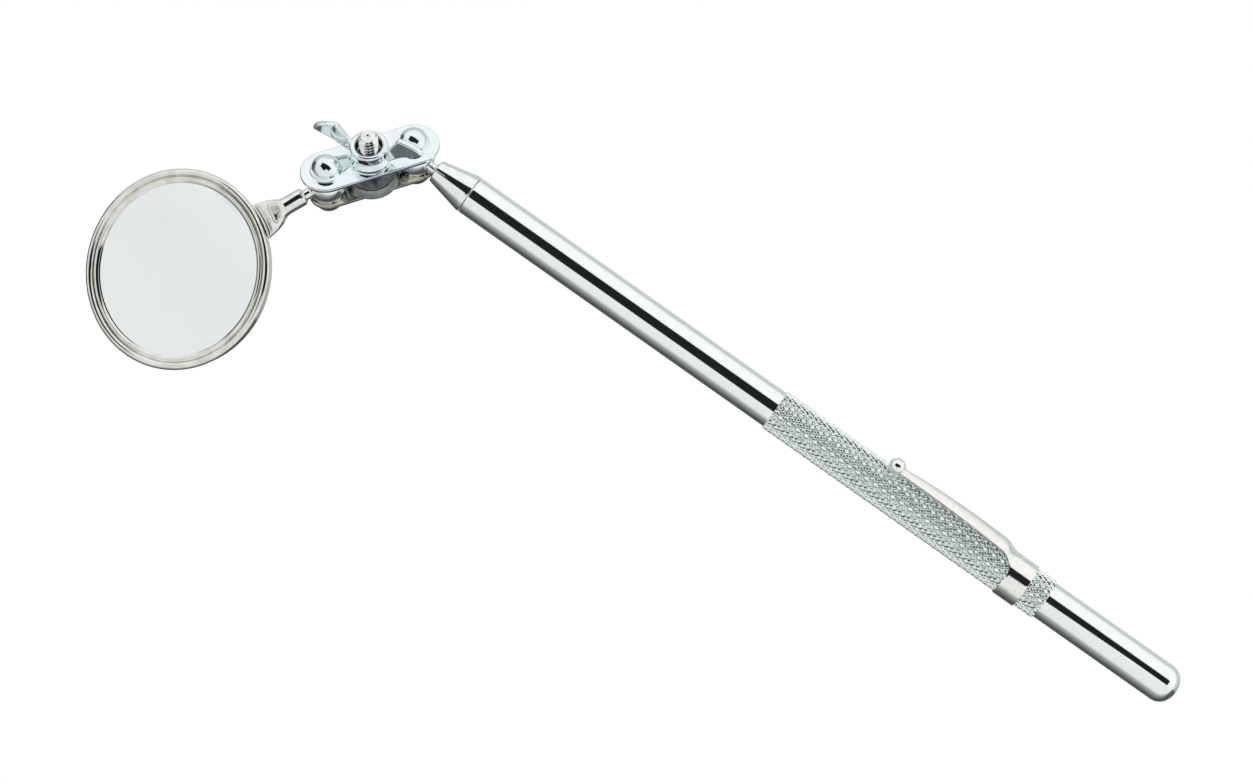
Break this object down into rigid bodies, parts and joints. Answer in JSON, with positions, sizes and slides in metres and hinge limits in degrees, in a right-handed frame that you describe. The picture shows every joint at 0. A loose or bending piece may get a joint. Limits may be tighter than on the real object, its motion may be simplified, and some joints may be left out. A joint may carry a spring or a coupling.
{
  "type": "inspection mirror",
  "caption": "Pocket inspection mirror: a round framed mirror on a ball joint clamped by a wing nut, on a telescoping rod that slides into a knurled handle with a pocket clip.",
  "frame": {"origin": "on the handle's axis at the rear shoulder of the knurled grip", "axes": "+X along the handle towards its nose, +Z the side the mirror faces in the stored pose, with the handle lying level"},
  "size_m": [0.1812, 0.0568, 0.0175],
  "materials": {
    "knurled_chrome": "polished, with a fine diamond knurl",
    "bright_chrome": "polished",
    "turned_chrome": "polished over fine turning marks",
    "clip_nickel": "bright nickel plated sheet",
    "bush_brass": "rolled",
    "ball_chrome": "polished",
    "plate_zinc": "bright bluish zinc plate",
    "screw_steel": "bright zinc plate",
    "nut_zinc": "bright bluish zinc plate on a forging",
    "collar_steel": "dull grey",
    "stem_nickel": "bright nickel plate",
    "rim_nickel": "bright warm nickel plate",
    "mirror_glass": "silvered flat glass",
    "pad_foam": "thin soft foam"
  },
  "bodies": {
    "handle": {"handle_tube": "knurled_chrome", "tail_plug": "bright_chrome", "pocket_clip": "clip_nickel"},
    "section_1": {"section_1_tube": "bright_chrome", "section_1_bush": "bush_brass"},
    "section_2": {"section_2_tube": "bright_chrome", "section_2_bush": "bush_brass"},
    "section_3": {"section_3_rod": "bright_chrome", "section_3_bush": "bush_brass", "nose_cone": "turned_chrome"},
    "inner_ball": {"handle_ball": "ball_chrome"},
    "clamp": {"clamp_plate_lower": "plate_zinc", "clamp_screw": "screw_steel", "spacer_collar": "collar_steel"},
    "upper_plate": {"clamp_plate_upper": "plate_zinc"},
    "nut": {"wing_nut": "nut_zinc"},
    "outer_ball": {"mirror_ball": "ball_chrome"},
    "mirror_head": {"mirror_stem": "stem_nickel", "mirror_cup": "rim_nickel", "mirror_glass": "mirror_glass", "backing_pad": "pad_foam"}
  },
  "joints": [
    {"name": "section_1_slide", "type": "slide", "parent": "handle", "child": "section_1", "axis": [1, 0, 0], "range_m": [0, 0.1155]},
    {"name": "section_2_slide", "type": "slide", "parent": "section_1", "child": "section_2", "axis": [1, 0, 0], "range_m": [0, 0.1145]},
    {"name": "section_3_slide", "type": "slide", "parent": "section_2", "child": "section_3", "axis": [1, 0, 0], "range_m": [0, 0.1135]},
    {"name": "head_roll", "type": "hinge", "parent": "section_3", "child": "inner_ball", "pos_m": [0.1207, 0, 0], "axis": [1, 0, 0], "continuous": true},
    {"name": "clamp_swing", "type": "hinge", "parent": "inner_ball", "child": "clamp", "pos_m": [0.1207, 0, 0], "axis": [0.36, -0.4777, 0.8014], "range_deg": [-140, 39]},
    {"name": "plate_lift", "type": "slide", "parent": "clamp", "child": "upper_plate", "axis": [0.36, -0.4777, 0.8014], "range_m": [0, 0.0013]},
    {"name": "wing_nut_turn", "type": "hinge", "parent": "upper_plate", "child": "nut", "pos_m": [0.12677, 0.00328, 0.00547], "axis": [0.36, -0.4777, 0.8014], "range_deg": [0, 720]},
    {"name": "mirror_swing", "type": "hinge", "parent": "clamp", "child": "outer_ball", "pos_m": [0.12925, 0.01134, 0.00292], "axis": [0.36, -0.4777, 0.8014], "range_deg": [-72, 72]},
    {"name": "mirror_roll", "type": "hinge", "parent": "outer_ball", "child": "mirror_head", "pos_m": [0.12925, 0.01134, 0.00292], "axis": [0.431, 0.8984, -0.0849], "continuous": true}
  ],
  "couplings": [
    {"joint": "plate_lift", "follows": "wing_nut_turn", "m_per_rad": 0.00010106}
  ]
}
